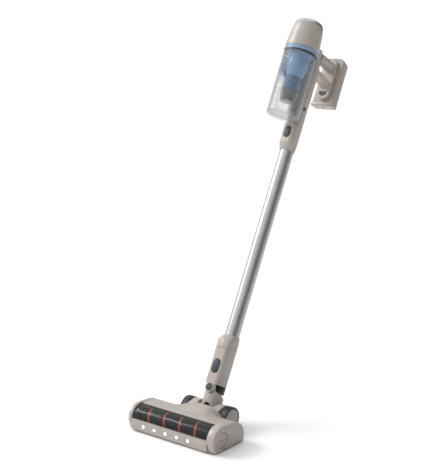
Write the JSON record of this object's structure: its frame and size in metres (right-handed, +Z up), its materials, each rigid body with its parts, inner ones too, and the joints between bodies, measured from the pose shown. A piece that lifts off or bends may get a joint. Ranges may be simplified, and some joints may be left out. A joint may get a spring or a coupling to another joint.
{
  "type": "cordless stick vacuum",
  "caption": "Cordless stick vacuum: powered floor head with clear roller window and lights, steering neck, aluminium wand, and hand unit with clear cyclone bin and clip-in battery.",
  "frame": {"origin": "on the floor under the middle of the whole object's bounding box", "axes": "+X to the floor head's right, +Y backwards, -Y is the cleaning direction, +Z up"},
  "size_m": [0.258, 0.6886, 0.9561],
  "materials": {
    "shell": "satin",
    "clear": "gloss",
    "blue": "gloss",
    "chrome": "polished",
    "aluminium": "satin",
    "steel": "satin",
    "grey": "satin",
    "black": "satin",
    "rubber": "matte",
    "bristle": "matte",
    "filter": "matte",
    "light": "gloss"
  },
  "bodies": {
    "head": {"end_cap_left": "shell", "end_cap_right": "shell", "brush_bearing": "steel", "head_cover": "shell", "brush_window": "clear", "front_bar": "shell", "light_strip": "light", "base_plate": "shell", "suction_lip": "bristle", "chamber_wall": "grey", "suction_duct": "black", "brush_motor": "steel", "drive_belt": "rubber", "neck_socket": "shell", "wheel_axle_left": "steel", "wheel_axle_right": "steel"},
    "brush_roller": {"brush_core": "black", "brush_fibre": "bristle", "brush_pulley": "black"},
    "belt_pulley": {"motor_pulley": "steel"},
    "cap_latch": {"end_cap_latch": "shell"},
    "front_roller_left": {"base_roller_left": "rubber"},
    "front_roller_right": {"base_roller_right": "rubber"},
    "wheel_left": {"wheel_tread_left": "rubber", "wheel_hub_left": "shell"},
    "wheel_right": {"wheel_tread_right": "rubber", "wheel_hub_right": "shell"},
    "yoke": {"neck_yoke": "shell", "neck_bellows": "black"},
    "neck": {"neck_housing": "shell", "pivot_cap": "grey"},
    "neck_button": {"lower_release_button": "grey"},
    "wand": {"wand_lower_collar": "shell", "wand_tube": "aluminium", "wand_upper_collar": "shell"},
    "wand_button": {"upper_release_button": "grey"},
    "hand_unit": {"inlet_spine": "shell", "handle": "shell", "motor_housing": "shell", "exhaust_cap": "chrome", "exhaust_filter": "filter", "suction_motor": "steel", "ring_band": "blue", "bin_seal": "black", "bin_shell": "clear", "lid_hinge_pin": "steel", "cyclone_body": "blue", "cyclone_grille": "blue", "cyclone_skirt": "clear", "inlet_scroll": "blue", "inlet_duct": "clear"},
    "bin_latch": {"bin_latch_button": "black"},
    "lid": {"bin_lid": "clear"},
    "switch": {"trigger": "black"},
    "battery_button": {"battery_release_button": "grey"},
    "battery": {"battery_case": "shell", "battery_cover": "shell", "battery_cells": "grey", "charging_port": "black"},
    "fan": {"motor_fan": "black"}
  },
  "joints": [
    {"name": "brush_spin", "type": "hinge", "parent": "head", "child": "brush_roller", "pos_m": [0, -0.31093, 0.0285], "axis": [1, 0, 0], "continuous": true},
    {"name": "belt_pulley_spin", "type": "hinge", "parent": "head", "child": "belt_pulley", "pos_m": [0, -0.25193, 0.024], "axis": [1, 0, 0], "continuous": true},
    {"name": "cap_latch_turn", "type": "hinge", "parent": "head", "child": "cap_latch", "pos_m": [0, -0.31093, 0.0285], "axis": [1, 0, 0], "range_deg": [0, 60]},
    {"name": "front_roller_left_spin", "type": "hinge", "parent": "head", "child": "front_roller_left", "pos_m": [-0.09, -0.28193, 0.0055], "axis": [1, 0, 0], "continuous": true},
    {"name": "front_roller_right_spin", "type": "hinge", "parent": "head", "child": "front_roller_right", "pos_m": [0.09, -0.28193, 0.0055], "axis": [1, 0, 0], "continuous": true},
    {"name": "wheel_left_spin", "type": "hinge", "parent": "head", "child": "wheel_left", "pos_m": [0, -0.19783, 0.0291], "axis": [1, 0, 0], "continuous": true},
    {"name": "wheel_right_spin", "type": "hinge", "parent": "head", "child": "wheel_right", "pos_m": [0, -0.19783, 0.0291], "axis": [1, 0, 0], "continuous": true},
    {"name": "neck_lean", "type": "hinge", "parent": "head", "child": "yoke", "pos_m": [0, -0.19783, 0.0291], "axis": [-1, 0, 0], "range_deg": [-27, 55]},
    {"name": "neck_steer", "type": "hinge", "parent": "yoke", "child": "neck", "pos_m": [0, -0.17061, 0.08145], "axis": [0, 0.8873, -0.4613], "range_deg": [-27, 27], "deforming": ["neck_bellows"]},
    {"name": "neck_button_press", "type": "slide", "parent": "neck", "child": "neck_button", "axis": [0, 0.8873, -0.4613], "range_m": [0, 0.002], "stiffness_N_per_m": 500},
    {"name": "wand_detach", "type": "slide", "parent": "neck", "child": "wand", "axis": [0, 0.4613, 0.8873], "range_m": [0, 0.036]},
    {"name": "wand_button_press", "type": "slide", "parent": "wand", "child": "wand_button", "axis": [0, 0.8873, -0.4613], "range_m": [0, 0.002], "stiffness_N_per_m": 500},
    {"name": "hand_unit_detach", "type": "slide", "parent": "wand", "child": "hand_unit", "axis": [0, 0.4613, 0.8873], "range_m": [0, 0.033]},
    {"name": "bin_latch_press", "type": "slide", "parent": "hand_unit", "child": "bin_latch", "axis": [-1, 0, 0], "range_m": [0, 0.0012], "stiffness_N_per_m": 400},
    {"name": "lid_open", "type": "hinge", "parent": "hand_unit", "child": "lid", "pos_m": [0, 0.05307, 0.74171], "axis": [-1, 0, 0], "range_deg": [0, 85]},
    {"name": "trigger_pull", "type": "hinge", "parent": "hand_unit", "child": "switch", "pos_m": [0, 0.24435, 0.8395], "axis": [1, 0, 0], "range_deg": [0, 12], "stiffness_Nm_per_rad": 0.3},
    {"name": "battery_button_press", "type": "slide", "parent": "hand_unit", "child": "battery_button", "axis": [0, 0.8873, -0.4613], "range_m": [0, 0.0015], "stiffness_N_per_m": 400},
    {"name": "battery_detach", "type": "slide", "parent": "hand_unit", "child": "battery", "axis": [0, -0.4613, -0.8873], "range_m": [0, 0.06]},
    {"name": "fan_spin", "type": "hinge", "parent": "hand_unit", "child": "fan", "pos_m": [0, 0.17695, 0.88243], "axis": [0, 0.4613, 0.8873], "continuous": true}
  ],
  "couplings": [
    {"joint": "belt_pulley_spin", "follows": "brush_spin", "ratio": 1.9167}
  ]
}
